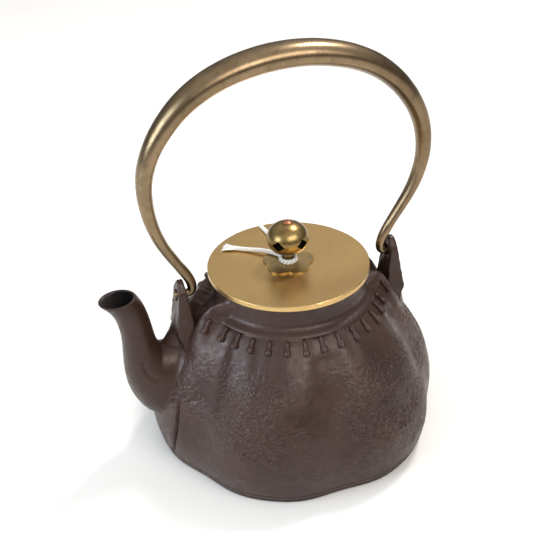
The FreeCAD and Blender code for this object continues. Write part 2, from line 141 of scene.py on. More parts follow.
class Shell:
    """Collects grids of points, in millimetres, into one smooth mesh object."""

    def __init__(self):
        self.points = []
        self.faces = []
        self.count = 0

    def grid(self, points, close_rows=False, cap_start=False, cap_end=False, flip=False):
        """Adds rings of points: the last joined to the first, or each end closed by a cap."""
        points = np.asarray(points, float)
        rows, columns = points.shape[:2]
        faces = grid_faces(rows, columns, close_rows, self.count)
        faces = faces[:, ::-1] if flip else faces
        faces = faces.tolist()
        flat = points.reshape(-1, 3)
        extra = []
        for wanted, row, turn in ((cap_start, 0, True), (cap_end, rows - 1, False)):
            if not wanted:
                continue
            centre = self.count + rows * columns + len(extra)
            extra.append(points[row].mean(axis=0))
            ring = self.count + row * columns + np.arange(columns)
            for a, b in zip(ring, np.roll(ring, -1)):
                face = [int(b), int(a), centre] if turn != flip else [int(a), int(b), centre]
                faces.append(face)
        self.points.append(np.vstack([flat, extra]) if extra else flat)
        self.faces += faces
        self.count += len(flat) + len(extra)
        return self

    def piece(self, name, body, slot, material, *nodes):
        """Makes the mesh object, which rides on body and stands in for the CAD nodes."""
        mesh = bpy.data.meshes.new(name)
        mesh.from_pydata((np.vstack(self.points) * MM).tolist(), [], self.faces)
        mesh.polygons.foreach_set("use_smooth", [True] * len(mesh.polygons))
        mesh.validate()
        mesh.update()
        item = bpy.data.objects.new(name, mesh)
        bpy.context.scene.collection.objects.link(item)
        mesh.materials.append(material)
        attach(item, body)
        if nodes:
            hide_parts(*nodes)
        return item


def tube(path, radii, sides):
    """Rings of points round a path, with one radius for the whole path or one for each point."""
    path = np.asarray(path, float)
    radii = np.broadcast_to(np.asarray(radii, float), (len(path),))
    along = unit(np.gradient(path, axis=0))
    side = np.cross(along[0], [0, 0, 1])
    if np.linalg.norm(side) < 0.1:
        side = np.cross(along[0], [1, 0, 0])
    angles = np.linspace(0, 2 * math.pi, sides, endpoint=False)
    rings = []
    for i, point in enumerate(path):
        side = side - along[i] * np.dot(side, along[i])
        side /= np.linalg.norm(side)
        other = np.cross(along[i], side)
        outward = np.cos(angles)[:, None] * side + np.sin(angles)[:, None] * other
        rings.append(point + radii[i] * outward)
    return np.array(rings)


# ---- camera ------------------------------------------------------------------
CAMERA_TARGET = Vector((0, 0, LID_TOP * MM))
CAMERA_DISTANCE = 0.5845
CAMERA_AZIMUTH = math.radians(-19.0)
CAMERA_ELEVATION = math.radians(31.69)
CAMERA_ROLL = math.radians(1.936)
CAMERA_LENS = 65.45
CAMERA_SENSOR = 36.0
CAMERA_SHIFT = (-0.0244, -0.0240)


def make_camera():
    level = math.cos(CAMERA_ELEVATION)
    forward = Vector((-math.sin(CAMERA_AZIMUTH) * level, math.cos(CAMERA_AZIMUTH) * level,
                      -math.sin(CAMERA_ELEVATION)))
    right = Vector((math.cos(CAMERA_AZIMUTH), math.sin(CAMERA_AZIMUTH), 0))
    up = right.cross(forward)
    cosine, sine = math.cos(CAMERA_ROLL), math.sin(CAMERA_ROLL)
    axis_x = right * cosine - up * sine
    axis_y = right * sine + up * cosine
    data = bpy.data.cameras.new("camera")
    data.lens = CAMERA_LENS
    data.sensor_width = CAMERA_SENSOR
    data.shift_x, data.shift_y = CAMERA_SHIFT
    data.clip_start = 0.01
    camera = bpy.data.objects.new("camera", data)
    rotation = Matrix((axis_x, axis_y, -forward)).transposed()
    place = CAMERA_TARGET - forward * CAMERA_DISTANCE
    camera.matrix_world = Matrix.Translation(place) @ rotation.to_4x4()
    bpy.context.scene.collection.objects.link(camera)
    bpy.context.scene.camera = camera


# ---- materials ---------------------------------------------------------------
class Nodes:
    """Short calls for building one material's node tree."""

    def __init__(self, name):
        self.material = bpy.data.materials.new(name)
        self.material.use_nodes = True
        self.tree = self.material.node_tree
        self.shader = self.tree.nodes["Principled BSDF"]
        self.place = self.add("ShaderNodeTexCoord").outputs["Object"]

    def add(self, kind, **inputs):
        node = self.tree.nodes.new(kind)
        for key, value in inputs.items():
            self.put(value, node.inputs[key.replace("_", " ")])
        return node

    def put(self, value, socket):
        if isinstance(value, bpy.types.NodeSocket):
            self.tree.links.new(value, socket)
        else:
            socket.default_value = value

    def set(self, **values):
        for key, value in values.items():
            self.put(value, self.shader.inputs[key.replace("_", " ")])

    def stretch(self, x, y, z):
        return self.add("ShaderNodeMapping", Vector=self.place, Scale=(x, y, z)).outputs["Vector"]

    def noise(self, scale, detail=2.0, roughness=0.5, distortion=0.0, vector=None):
        node = self.add("ShaderNodeTexNoise", Vector=vector or self.place, Scale=scale, Detail=detail,
                        Roughness=roughness, Distortion=distortion)
        return node.outputs["Fac"]

    def spread(self, value, low, high, out_low=0.0, out_high=1.0):
        node = self.add("ShaderNodeMapRange", Value=value, From_Min=low, From_Max=high, To_Min=out_low,
                        To_Max=out_high)
        return node.outputs["Result"]

    def math(self, operation, a, b=0.0):
        node = self.tree.nodes.new("ShaderNodeMath")
        node.operation = operation
        self.put(a, node.inputs[0])
        self.put(b, node.inputs[1])
        return node.outputs[0]

    def mix(self, share, first, second):
        node = self.tree.nodes.new("ShaderNodeMix")
        node.data_type = "RGBA"
        self.put(share, node.inputs[0])
        for colour, socket in ((first, node.inputs[6]), (second, node.inputs[7])):
            self.put(colour if isinstance(colour, bpy.types.NodeSocket) else (*colour, 1), socket)
        return node.outputs[2]

    def bump(self, *layers):
        """Layers of (height socket, depth in metres), laid one over another."""
        normal = None
        for height, depth in layers:
            node = self.add("ShaderNodeBump", Height=height, Distance=depth, Strength=1.0)
            if normal:
                self.put(normal, node.inputs["Normal"])
            normal = node.outputs["Normal"]
        self.put(normal, self.shader.inputs["Normal"])


# depths of the cast skin in metres, and the heights over which its wrinkles run out below the pleats
SAND_DEPTH = 0.00006
GRAIN_DEPTH = 0.00014
WRINKLE_DEPTH = 0.0017
WRINKLE_FADE = (0.060, 0.080)
# painted shade, near black, for the spout's passage
PASSAGE_PAINTED_SHADE = (0.011, 0.010, 0.010)
RUST = (0.070, 0.030, 0.017)


def cast_iron(name, light, dark, grain):
    """Brown patinated cast iron with a fine sand-cast grain, rust in clouds and painted shade on the
    spout's lining.
    """
    nodes = Nodes(name)
    clouds = nodes.noise(26, 4, 0.55)
    specks = nodes.noise(900, 3, 0.6)
    colour = nodes.mix(nodes.spread(clouds, 0.38, 0.62), dark, light)
    rust = nodes.spread(nodes.noise(60, 5, 0.65, 0.4), 0.56, 0.75, 0, 0.5)
    colour = nodes.mix(rust, colour, RUST)
    colour = nodes.mix(nodes.spread(specks, 0.3, 0.7, 0.0, 0.35), colour, dark)
    lining = nodes.add("ShaderNodeAttribute")
    lining.attribute_name = "lining"
    # painted shade: the passage's points turn near black
    colour = nodes.mix(lining.outputs["Fac"], colour, PASSAGE_PAINTED_SHADE)
    nodes.set(Base_Color=colour, Metallic=0.0,
              Roughness=nodes.spread(nodes.noise(240, 3), 0.3, 0.7, 0.28, 0.48))
    nodes.shader.inputs["Specular IOR Level"].default_value = 0.44
    nodes.shader.inputs["Specular Tint"].default_value = (1.0, 0.88, 0.86, 1)
    creases = nodes.noise(350, 2, 0.5, 0.8, nodes.stretch(1, 1, 1.7))
    patches = nodes.spread(nodes.noise(32, 2), 0.46, 0.62)
    height = nodes.add("ShaderNodeSeparateXYZ", Vector=nodes.place).outputs["Z"]
    below_pleats = nodes.spread(height, *WRINKLE_FADE, 1.0, 0.0)
    wrinkled = nodes.math("MULTIPLY", creases, nodes.math("MULTIPLY", patches, below_pleats))
    nodes.bump((nodes.noise(1300, 3, 0.6), SAND_DEPTH * grain),
               (nodes.noise(420, 3, 0.55), GRAIN_DEPTH * grain),
               (wrinkled, WRINKLE_DEPTH * grain))
    return nodes.material


# painted shade fills the inside of the knob's shell and gives way to the skin between these shares of
# the knob's half size
KNOB_PAINTED_SHADE_EDGE = (0.93, 0.97)


def knob_unshaded_share(nodes):
    """0 inside the knob's thin shell, where shade is painted, and 1 on its skin and outside it."""
    size = (1 / (KNOB_RADIUS * MM), 1 / (KNOB_RADIUS * MM), 1 / (KNOB_HALF_HEIGHT * MM))
    middle = (0, 0, -(KNOB_BOTTOM + KNOB_HALF_HEIGHT) / KNOB_HALF_HEIGHT)
    scaled = nodes.add("ShaderNodeMapping", Vector=nodes.place, Scale=size, Location=middle)
    length = nodes.tree.nodes.new("ShaderNodeVectorMath")
    length.operation = "LENGTH"
    nodes.put(scaled.outputs["Vector"], length.inputs[0])
    return nodes.spread(length.outputs["Value"], *KNOB_PAINTED_SHADE_EDGE)


def brass(name, light, dark, smooth, patina, brushed=0.00001, painted_shade_inside=False):
    """Old brass: warm metal, dulled in clouds, with fine wiping marks; on the knob, painted shade
    darkens the inside of its shell.
    """
    nodes = Nodes(name)
    clouds = nodes.noise(30, 4, 0.6)
    colour = nodes.mix(nodes.spread(clouds, 0.38, 0.66), light, dark)
    tarnish = nodes.spread(nodes.noise(130, 5, 0.65, 0.3), 0.52, 0.78, 0, patina)
    colour = nodes.mix(tarnish, colour, tuple(value * 0.4 for value in dark))
    if painted_shade_inside:
        # painted shade: the inside of the knob's shell takes a tenth of the dark brass colour
        colour = nodes.mix(knob_unshaded_share(nodes), tuple(value * 0.1 for value in dark), colour)
    marks = nodes.noise(90, 3, 0.6, vector=nodes.stretch(40, 1.5, 4))
    roughness = nodes.math("ADD", nodes.spread(marks, 0.3, 0.7, -0.04, 0.05),
                           nodes.spread(clouds, 0.3, 0.7, smooth, smooth + 0.10))
    nodes.set(Base_Color=colour, Metallic=1.0, Roughness=roughness)
    nodes.bump((marks, brushed), (nodes.noise(700, 2), brushed * 0.6))
    return nodes.material


def copper(name):
    """Dull copper, mottled."""
    nodes = Nodes(name)
    mottle = nodes.spread(nodes.noise(500, 3), 0.35, 0.65)
    nodes.set(Base_Color=nodes.mix(mottle, (0.50, 0.20, 0.10), (0.28, 0.11, 0.06)), Metallic=1.0,
              Roughness=nodes.spread(nodes.noise(900), 0.3, 0.7, 0.3, 0.5))
    nodes.bump((nodes.noise(1500), 0.00002))
    return nodes.material


def cotton(name):
    """White cotton string with twisted strands."""
    nodes = Nodes(name)
    strands = nodes.noise(1400, 3, 0.6)
    colour = nodes.mix(nodes.spread(strands, 0.3, 0.7), (0.88, 0.87, 0.84), (0.70, 0.69, 0.66))
    nodes.set(Base_Color=colour, Roughness=nodes.spread(strands, 0.3, 0.7, 0.8, 0.95))
    nodes.shader.inputs["Specular IOR Level"].default_value = 0.2
    nodes.bump((strands, 0.0002))
    return nodes.material


def plain_floor():
    """Pale matt floor."""
    nodes = Nodes("pale_floor")
    clouds = nodes.spread(nodes.noise(3, 2), 0.3, 0.7)
    shade = nodes.mix(clouds, (0.88, 0.87, 0.855), (0.90, 0.893, 0.88))
    nodes.set(Base_Color=shade, Roughness=nodes.spread(nodes.noise(40), 0.3, 0.7, 0.55, 0.65))
    return nodes.material


# ---- tie string --------------------------------------------------------------
STRING_RADIUS = 1.3
LOOP_RADIUS = 4.4
LOOP_HEIGHT = 112.4
LOOP_TWISTS = 7
PLY_RADIUS = 0.74
PLY_OUTWARD = 0.55
PLY_UPWARD = 0.9
FRONT_TAIL = [(-2.4, 3.8, 112.5), (-6.2, 9.8, 112.6), (-11.8, 15.0, 112.5),
              (-17.5, 19.6, 111.6), (-23.2, 23.6, 111.4), (-28.2, 27.3, 111.4)]
BACK_TAIL = [(0.6, 4.4, 112.5), (0.6, 10.5, 112.6), (0.2, 17.5, 112.5),
             (-0.3, 25.5, 111.6), (-0.9, 34.6, 111.4), (-2.1, 44.4, 111.4)]


def string_tail(name, route, node, material):
    """A loose end of the string, lying along its route, whose points are given in millimetres."""
    curve = bpy.data.curves.new(name, "CURVE")
    curve.dimensions = "3D"
    curve.bevel_depth = STRING_RADIUS * MM
    curve.bevel_resolution = 5
    curve.resolution_u = 16
    curve.use_fill_caps = True
    line = curve.splines.new("NURBS")
    line.points.add(len(route) - 1)
    for point, (x, y, z) in zip(line.points, route):
        point.co = (x * MM, y * MM, z * MM, 1)
    line.order_u = 3
    line.use_endpoint_u = True
    curve.materials.append(material)
    item = bpy.data.objects.new(name, curve)
    bpy.context.scene.collection.objects.link(item)
    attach(item, "lid")
    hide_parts(node)


TUFT_FIBRES = 26
TUFT_START = (-20.6, 21.9, 111.4)
TUFT_END = (-30.6, 29.1, 111.0)
TUFT_ROOT_SPREAD = 0.9
TUFT_SPREAD = 4.0
TUFT_LIFT = 0.9
FIBRE_RADIUS = 0.22


def frayed_end(material):
    """Loose cotton fibres that fan out flat at the front tail's end."""
    shell = Shell()
    start, end = np.array(TUFT_START), np.array(TUFT_END)
    along = unit(end - start)
    side = unit(np.cross([0, 0, 1], along))
    share = np.linspace(0, 1, 12)[:, None]
    for i in range(TUFT_FIBRES):
        across = (i / (TUFT_FIBRES - 1) - 0.5) * 2
        wave = noise.noise(Vector((i * 1.7, 0.3, 4.0)))
        reach = 1 + 0.14 * noise.noise(Vector((i * 2.3, 8.0, 1.0)))
        lift = TUFT_LIFT * noise.noise(Vector((i * 3.1, 2.0, 6.0)))
        fan = TUFT_ROOT_SPREAD + (TUFT_SPREAD - TUFT_ROOT_SPREAD) * share ** 1.6
        sway = across * fan + 0.35 * wave * np.sin(share * 5 + i)
        path = start + (end - start) * share * reach + side * sway
        path[:, 2] += lift * share[:, 0] + 0.25 * (1 - abs(across))
        path[:, 2] = np.maximum(path[:, 2], LID_TOP + 0.3)
        shell.grid(tube(path, FIBRE_RADIUS, 6), cap_start=True, cap_end=True)
    return shell.piece("string_frayed_end", "lid", "cotton", material)


def string_loop(material):
    """The string's turn round the knob's foot, two plies twisted together."""
    shell = Shell()
    turns = np.linspace(0, 2 * math.pi, 161)[:-1]
    for ply in (0, math.pi):
        twist = turns * LOOP_TWISTS + ply
        path = around_axis(LOOP_RADIUS + PLY_OUTWARD * np.cos(twist), turns,
                           LOOP_HEIGHT + PLY_UPWARD * np.sin(twist))
        rings = tube(np.vstack([path, path[:1]]), PLY_RADIUS, 10)[:-1]
        shell.grid(rings, close_rows=True)
    shell.piece("string_loop", "lid", "cotton", material, "tie_string_loop")


# ---- kettle body -------------------------------------------------------------
LOBE_FACES = 840
WALL_ROWS = 150
SHOULDER_ROWS = 56
SHOULDER_LINE = [(59.6, 82.0), (58.0, 83.6), (53.2, 88.4), (51.6, 89.6), (50.6, 90.2), (50.2, 91.2),
                 (48.9, 92.1), (46.6, 93.2), (45.2, 94.9), (44.6, 97.0), (44.5, 100.0), (44.5, 105.2),
                 (44.3, 106.4), (43.4, 106.8)]
INNER_LINE = [(43.4, 106.8), (40.7, 106.8), (40.0, 106.1), (40.0, 98.0), (40.0, 91.0), (48.0, 84.6),
              (54.9, 78.0)]
INNER_ROWS = 40
MOUTH_ROWS = 34
INNER_WALL_TOP = 76.0
# going up, the inner face loses its valleys between these heights
INNER_VALLEY_FADE = (78.0, 86.0)
CURVE_SAMPLES = 400
# rounded lower edge of the wall, as steps outwards and upwards from its foot
FOOT_ROUND = [(-0.9, 0.0), (-0.25, 0.25), (0.1, 1.0)]
BROAD_VALLEY_DEPTH = 3.8
BROAD_VALLEY_FADE = (50.0, 82.0)
PINCHED_VALLEY_DEPTH = 3.7
PINCHED_VALLEY_RISE = (14.0, 58.0)
PINCHED_VALLEY_FADE = (78.0, 86.0)
VALLEY_TOP = 84.0
RIDGE_LEVEL = 90.0
# crest of a gathered fold (radius, height), and how many degrees it stands from the lug's axis
CREST_LINE = [(68.6, 72.0), (66.4, 77.5), (63.6, 83.0), (60.6, 89.0), (57.0, 94.6), (52.6, 99.0),
              (48.4, 101.8), (45.4, 103.4), (44.5, 105.4)]
CREST_SPREAD = [(72.0, 9.5), (84.5, 9.6), (92.0, 10.0), (98.5, 12.4), (102.0, 17.5), (105.4, 21.0)]
FOLD_OUTER_SLOPE = 13.0
FOLD_INNER_SLOPE = 3.4


def valley_share(degrees):
    """1 in the middle of a valley and 0 on the middle of a lobe."""
    return (1 + np.cos(np.radians(LOBE_COUNT * (degrees - FIRST_VALLEY_DEG)))) / 2


def wall_radius(height):
    """Outside radius of the wall over its lobes."""
    levels = np.array(WALL_LEVELS)
    return spline(levels[:, 0], levels[:, 1], height)


def lobe_inset(height, degrees):
    """How far the wall lies inside its lobes: broad soft valleys, pinched narrow near the pleats."""
    share = valley_share(degrees)
    broad = BROAD_VALLEY_DEPTH * share ** 2 * (1 - rise(height, *BROAD_VALLEY_FADE))
    pinched = PINCHED_VALLEY_DEPTH * share ** 4 * rise(height, *PINCHED_VALLEY_RISE)
    return broad + pinched * (1 - 0.5 * rise(height, *PINCHED_VALLEY_FADE))


def fold_angle(degrees):
    """Angle from the nearest lug's axis, 0 to 90 degrees."""
    return np.abs((np.asarray(degrees) + 90) % 180 - 90)


def meridians(degrees):
    """Outer surface as (radius, height) for every row and angle, before the cast texture."""
    degrees = np.asarray(degrees, float)
    heights = np.linspace(WALL_FOOT, WALL_TOP, CURVE_SAMPLES)
    wall = resampled(np.column_stack([wall_radius(heights), heights]), WALL_ROWS)
    wall = np.vstack([wall[0] + FOOT_ROUND, wall[2:]])
    shoulder = resampled(rounded(SHOULDER_LINE), SHOULDER_ROWS)[1:]
    base = np.vstack([wall, shoulder])
    radius = np.repeat(base[:, :1], len(degrees), axis=1)
    height = np.repeat(base[:, 1:], len(degrees), axis=1)
    level = height.copy()
    radius -= lobe_inset(np.minimum(level, VALLEY_TOP), degrees[None, :]) * (level < RIDGE_LEVEL)

    low = int(np.argmax(base[:, 1] > CREST_LINE[0][1]))
    high = int(np.argmax(base[:, 1] > CREST_LINE[-1][1]))
    crest = resampled(rounded(CREST_LINE), high - low)
    spread = np.interp(crest[:, 1], *np.array(CREST_SPREAD).T)[:, None]
    off = fold_angle(degrees)[None, :] - spread
    weight = np.where(off > 0, smooth_step(1 - off / FOLD_OUTER_SLOPE) ** 1.4,
                      smooth_step(1 + off / FOLD_INNER_SLOPE))
    radius[low:high] += weight * (crest[:, :1] - base[low:high, :1])
    height[low:high] += weight * (crest[:, 1:] - base[low:high, 1:])
    return radius, height, level


FIRST_PLEAT_DEG = 15.5
PLEATS_PER_SIDE = 15
PLEAT_SPACING = (180 - 2 * FIRST_PLEAT_DEG) / (PLEATS_PER_SIDE - 1)


def pleat_angles():
    """Every pleat's place round the axis, mirrored across the plane through the lugs."""
    one_side = FIRST_PLEAT_DEG + PLEAT_SPACING * np.arange(PLEATS_PER_SIDE)
    return np.concatenate([one_side, -one_side])


GATHER_DEPTH = 0.44
GATHER_RISE = (72.0, 80.0)
GATHER_FADE = (87.5, 90.0)


def gathers(level, degrees):
    """Soft swelling of the wall under each pleat, just below and above the row of beads."""
    phase = (fold_angle_signed(degrees) - FIRST_PLEAT_DEG) / PLEAT_SPACING
    wave = 0.5 + 0.5 * np.cos(2 * math.pi * phase)
    return GATHER_DEPTH * wave * rise(level, *GATHER_RISE) * (1 - rise(level, *GATHER_FADE))


def fold_angle_signed(degrees):
    """0 to 180 degrees from the rear lug's axis, the same on both sides."""
    return np.abs((np.asarray(degrees) + 180) % 360 - 180)


SKIN_RISE = (10.0, 32.0)
SKIN_FADE = (66.0, 78.0)
SKIN_TOP = 80.0
SKIN_LEAST = 0.08
WRINKLE_HEIGHT = 0.66
PEBBLE_HEIGHT = 0.42


def cast_texture(points, level, degrees):
    """Wrinkled casting skin, strongest in patches round the lobes' middle."""
    rows, columns = points.shape[:2]
    relief = np.zeros((rows, columns))
    band = rise(level, *SKIN_RISE) * (1 - rise(level, *SKIN_FADE))
    lobe = (1 - valley_share(degrees)) ** 0.7
    for i in range(rows):
        if level[i, 0] > SKIN_TOP:
            continue
        for j in range(columns):
            x, y, z = points[i, j]
            patch = noise.noise(Vector((x * 0.032, y * 0.032, z * 0.045)) + Vector((3.1, 0.4, 7.7)))
            rough = min(1.0, max(0.0, 0.6 * lobe[j] + 2.0 * patch))
            strength = SKIN_LEAST + (1 - SKIN_LEAST) * rough * band[i, j]
            warp = noise.noise(Vector((x, y, z)) * 0.16) * 1.6
            wrinkle = noise.noise(Vector((x * 0.36 + warp, y * 0.36, z * 0.62 + warp)))
            pebble = noise.noise(Vector((x * 0.62, y * 0.62, z * 0.8 + 9.0)))
            fold = WRINKLE_HEIGHT * (0.5 - abs(wrinkle) * 2.2)
            relief[i, j] = strength * (fold + PEBBLE_HEIGHT * pebble)
    return relief


SLIT_DEG = 198.2
SLIT_BOTTOM = 8.0
SLIT_TOP = 52.0
SLIT_MIDDLE = 33.0
SLIT_CURVE = 0.0078
SLIT_DEPTH = 2.2
SLIT_WIDTH_DEG = 0.5
LIP_HEIGHT = 0.5
LIP_PLACE_DEG = 1.6
LIP_WIDTH_DEG = 2.4
SLIT_FINE_STEPS = 20
SLIT_FINE_STEP_DEG = 0.14


def slit(level, degrees):
    """Narrow crease in the spout's lobe, from the foot to mid height, with one lip a little proud."""
    window = rise(level, SLIT_TOP, SLIT_TOP - 10) * rise(level, SLIT_BOTTOM - 3, SLIT_BOTTOM + 1)
    off = degrees - SLIT_DEG + SLIT_CURVE * (level - SLIT_MIDDLE) ** 2
    groove = -SLIT_DEPTH * np.exp(-(off / SLIT_WIDTH_DEG) ** 2)
    lip = LIP_HEIGHT * np.exp(-((off + LIP_PLACE_DEG) / LIP_WIDTH_DEG) ** 2) * (off < 0)
    return (groove + lip) * window


FOOT_GROOVE_LEVEL = 6.4
FOOT_GROOVE_DEPTH = 0.45
FOOT_GROOVE_WIDTH = 0.55


def foot_groove(level):
    """Thin line round the body where the foot strip starts."""
    return -FOOT_GROOVE_DEPTH * np.exp(-((level - FOOT_GROOVE_LEVEL) / FOOT_GROOVE_WIDTH) ** 2)


def body_angles():
    """Even angles round the body, with fine ones between them along the slit."""
    even = np.linspace(0, 360, LOBE_FACES, endpoint=False)
    steps = np.arange(-SLIT_FINE_STEPS, SLIT_FINE_STEPS + 1)
    fine = SLIT_DEG - LIP_PLACE_DEG + steps * SLIT_FINE_STEP_DEG
    return np.unique(np.round(np.concatenate([even, fine]), 4))


def outer_radius(height, degrees):
    """Plain outside radius of the pouch at a height of the wall."""
    return wall_radius(height) - lobe_inset(height, degrees)


def body_inside(degrees):
    """Radius and height of the inner face, from the mouth's rim down to the foot."""
    levels = np.linspace(INNER_WALL_TOP, WALL_FOOT, INNER_ROWS)
    mouth = resampled(rounded(INNER_LINE), MOUTH_ROWS)[1:]
    radius = np.concatenate([mouth[:, 0], wall_radius(levels) - WALL_THICKNESS])[:, None]
    height = np.concatenate([mouth[:, 1], levels])[:, None]
    inset = lobe_inset(np.minimum(height, VALLEY_TOP), degrees[None, :])
    return radius - inset * rise(height, *INNER_VALLEY_FADE[::-1]), height


def kettle_body(material):
    """The pouch: outer skin, mouth and inner face as one closed shell, with the pleats on it."""
    degrees = body_angles()
    turn = np.radians(degrees)[None, :]
    radius, height, level = meridians(degrees)
    radius += gathers(level, degrees[None, :])
    relief = cast_texture(around_axis(radius, turn, height), level, degrees)
    relief += slit(level, degrees[None, :]) + foot_groove(level)
    outer = around_axis(radius + relief, turn, height)
    inner_radius, inner_height = body_inside(degrees)
    inner = around_axis(inner_radius, turn, inner_height)
    shell = Shell().grid(np.vstack([outer, inner]), close_rows=True)
    add_pleats(shell)
    shell.piece("kettle_body_skin", "kettle", "cast_iron", material, "kettle_body")


# thickness of a pleat (share of its length, radius)
PLEAT_SHAPE = [(0.0, 0.5), (0.1, 1.1), (0.3, 1.35), (0.45, 1.4), (0.6, 1.75), (0.76, 2.2), (0.88, 2.15),
               (0.97, 1.4), (1.0, 0.4)]
PLEAT_START = 90.2
PLEAT_END = 84.2
PLEAT_RINGS = 22
PLEAT_OUTWARD = 0.75
PLEAT_UPWARD = 0.35


def add_pleats(shell):
    """Drop shaped pleats: a thin rod that ends in a bead, half sunk in the shoulder."""
    angles = pleat_angles()
    radius, height, level = meridians(angles)
    shape = np.array(PLEAT_SHAPE)
    share = np.linspace(0, 1, PLEAT_RINGS)
    thickness = spline(shape[:, 0], shape[:, 1], share)
    numbers = np.arange(len(level))
    for j, degrees in enumerate(angles):
        uneven = 0.5 * noise.noise(Vector((degrees * 0.37, 2.0, 5.0)))
        hang = 1.2 * valley_share(degrees) + uneven
        rows = np.interp(np.linspace(PLEAT_START, PLEAT_END - hang, len(share)), level[:, 0], numbers)
        path = around_axis(np.interp(rows, numbers, radius[:, j]) + PLEAT_OUTWARD,
                           np.radians(degrees + uneven * 1.2 * share),
                           np.interp(rows, numbers, height[:, j]) + PLEAT_UPWARD)
        size = thickness * (1 + 0.14 * noise.noise(Vector((degrees * 0.61, 7.0, 1.0))))
        shell.grid(tube(path, size, 14), cap_start=True, cap_end=True, flip=True)


# ---- base plate --------------------------------------------------------------
BASE_RADIUS = 84.5
BASE_LINE = [(0.0, 0.0), (30.0, 0.0), (78.0, 0.0), (82.6, 0.0), (84.0, 0.5), (BASE_RADIUS, 1.4),
             (BASE_RADIUS, WALL_FOOT)]
# the plate's upper side, as (steps outwards from its edge, height): under the wall, then inside it
BASE_TOP_LINE = [(-0.6, WALL_FOOT), (-1.0 - WALL_THICKNESS, WALL_FOOT), (-1.0 - WALL_THICKNESS, 4.8),
                 (-6.0 - WALL_THICKNESS, 4.8), (-6.5 - WALL_THICKNESS, 3.1)]
BASE_ROWS = 90
BASE_COLUMNS = 420
BASE_ROUGH_RADIUS = 80.0


def base_plate(material):
    """Bottom plate seen from below and as the narrow strip at the foot, with a rough skin."""
    degrees = np.linspace(0, 360, BASE_COLUMNS, endpoint=False)
    turn = np.radians(degrees)[None, :]
    line = resampled(rounded(BASE_LINE, 1), BASE_ROWS)
    line = line[line[:, 0] > 0.5]
    size = line[:, :1]
    inset = lobe_inset(WALL_FOOT, degrees)[None, :] * (size / BASE_RADIUS) ** 2
    under = around_axis(size - inset, turn, line[:, 1:])
    for row in range(np.count_nonzero(size < BASE_ROUGH_RADIUS)):
        for point in under[row]:
            spot = Vector((point[0], point[1], 0))
            point[2] += max(0.0, 0.14 + noise.noise(spot * 0.3) * 0.1 + noise.noise(spot * 0.08) * 0.16)
    top = np.array(BASE_TOP_LINE)
    upper = around_axis(BASE_RADIUS + top[:, :1] - inset[-1:], turn, top[:, 1:])
    shell = Shell().grid(np.vstack([under, upper]), cap_start=True, cap_end=True)
    shell.piece("foot_and_bottom", "kettle", "cast_iron", material, "base_plate")


# ---- spout -------------------------------------------------------------------
# each section: its inner and outer end in the middle plane (x, z), and its half width
SPOUT_SECTIONS = [((-72.0, 74.0), (-72.0, 26.0), 16.5),
                  ((-79.5, 73.6), (-89.0, 27.5), 16.2),
                  ((-81.2, 75.2), (-99.3, 41.5), 14.6),
                  ((-82.4, 78.0), (-102.8, 58.0), 12.4),
                  ((-83.6, 84.0), (-102.3, 76.0), 10.0),
                  ((-85.0, 93.0), (-102.8, 90.0), 9.0),
                  ((-87.6, 103.5), (-106.2, 101.0), 9.0),
                  ((-91.2, 110.4), (-112.6, 109.0), 9.8)]
SPOUT_ROWS = 120
SPOUT_COLUMNS = 96
SPOUT_WALL = 2.8
SPOUT_LIP_WALL = 1.7
SPOUT_LINING_ROWS = 60
SPOUT_ROOT_DEPTH = 13.0
SPOUT_ROOT_ROWS = 8
# the even rings run over these sections, outside up to the lip and inside back from it
SPOUT_SKIN_RUN = (0.0, 6.86)
SPOUT_LINING_RUN = (6.8, 0.4)
# rings round the lip (section, how far the skin is drawn in), outside and then inside
LIP_OUTSIDE = [(6.92, 0.03), (6.965, 0.14), (6.99, 0.34), (7.0, 0.6)]
LIP_INSIDE = [(7.0, 1.1), (6.99, 1.35), (6.96, 1.55), (6.9, SPOUT_LIP_WALL)]
FLOW_MARK = [(-93.4, 70.0), (-92.6, 66.0), (-91.4, 62.0), (-86.0, 58.6)]
FLOW_MARK_DEPTH = 1.1
FLOW_MARK_WIDTH = 1.0
# the root's fillet: its size low and high on the spout, and the heights between which it grows
FILLET_BOTTOM = 1.6
FILLET_TOP = 3.0
FILLET_GROWTH = (44.0, 68.0)
# how much of the flare goes along X, how deep it may sink, and how far past its size it still acts
FILLET_FORWARD = 0.35
FILLET_SINK = 0.8
FILLET_REACH = 1.3


def spout_sections(where):
    """Sections in between the given ones, on smooth curves."""
    knots = np.arange(len(SPOUT_SECTIONS))
    table = np.array([[*inner, *outer, width] for inner, outer, width in SPOUT_SECTIONS])
    return spline(knots, table, where)


def spout_rings(where, wall):
    """Rings of points for section parameters where, drawn in by wall."""
    table = spout_sections(where)
    start = np.column_stack([table[:, 0], np.zeros(len(where)), table[:, 1]])
    end = np.column_stack([table[:, 2], np.zeros(len(where)), table[:, 3]])
    centre = (start + end) / 2
    reach = (start - end) / 2
    length = np.linalg.norm(reach, axis=1, keepdims=True)
    wall = np.broadcast_to(np.asarray(wall, float), (len(where),))[:, None]
    reach = reach / length * (length - wall)
    angles = np.linspace(0, 2 * math.pi, SPOUT_COLUMNS, endpoint=False)
    side = table[:, 4:5] - wall
    ring = centre[:, None, :] + reach[:, None, :] * np.cos(angles)[None, :, None]
    ring[:, :, 1] += side * np.sin(angles)[None, :]
    return ring, centre


def body_clearance(points):
    """How far points stand out from the body's wall, and the wall's radius there."""
    around = np.degrees(np.arctan2(points[..., 1], points[..., 0])) % 360
    height = np.clip(points[..., 2], WALL_FOOT, WALL_TOP)
    surface = outer_radius(height.ravel(), around.ravel()).reshape(height.shape)
    return np.hypot(points[..., 0], points[..., 1]) - surface, surface


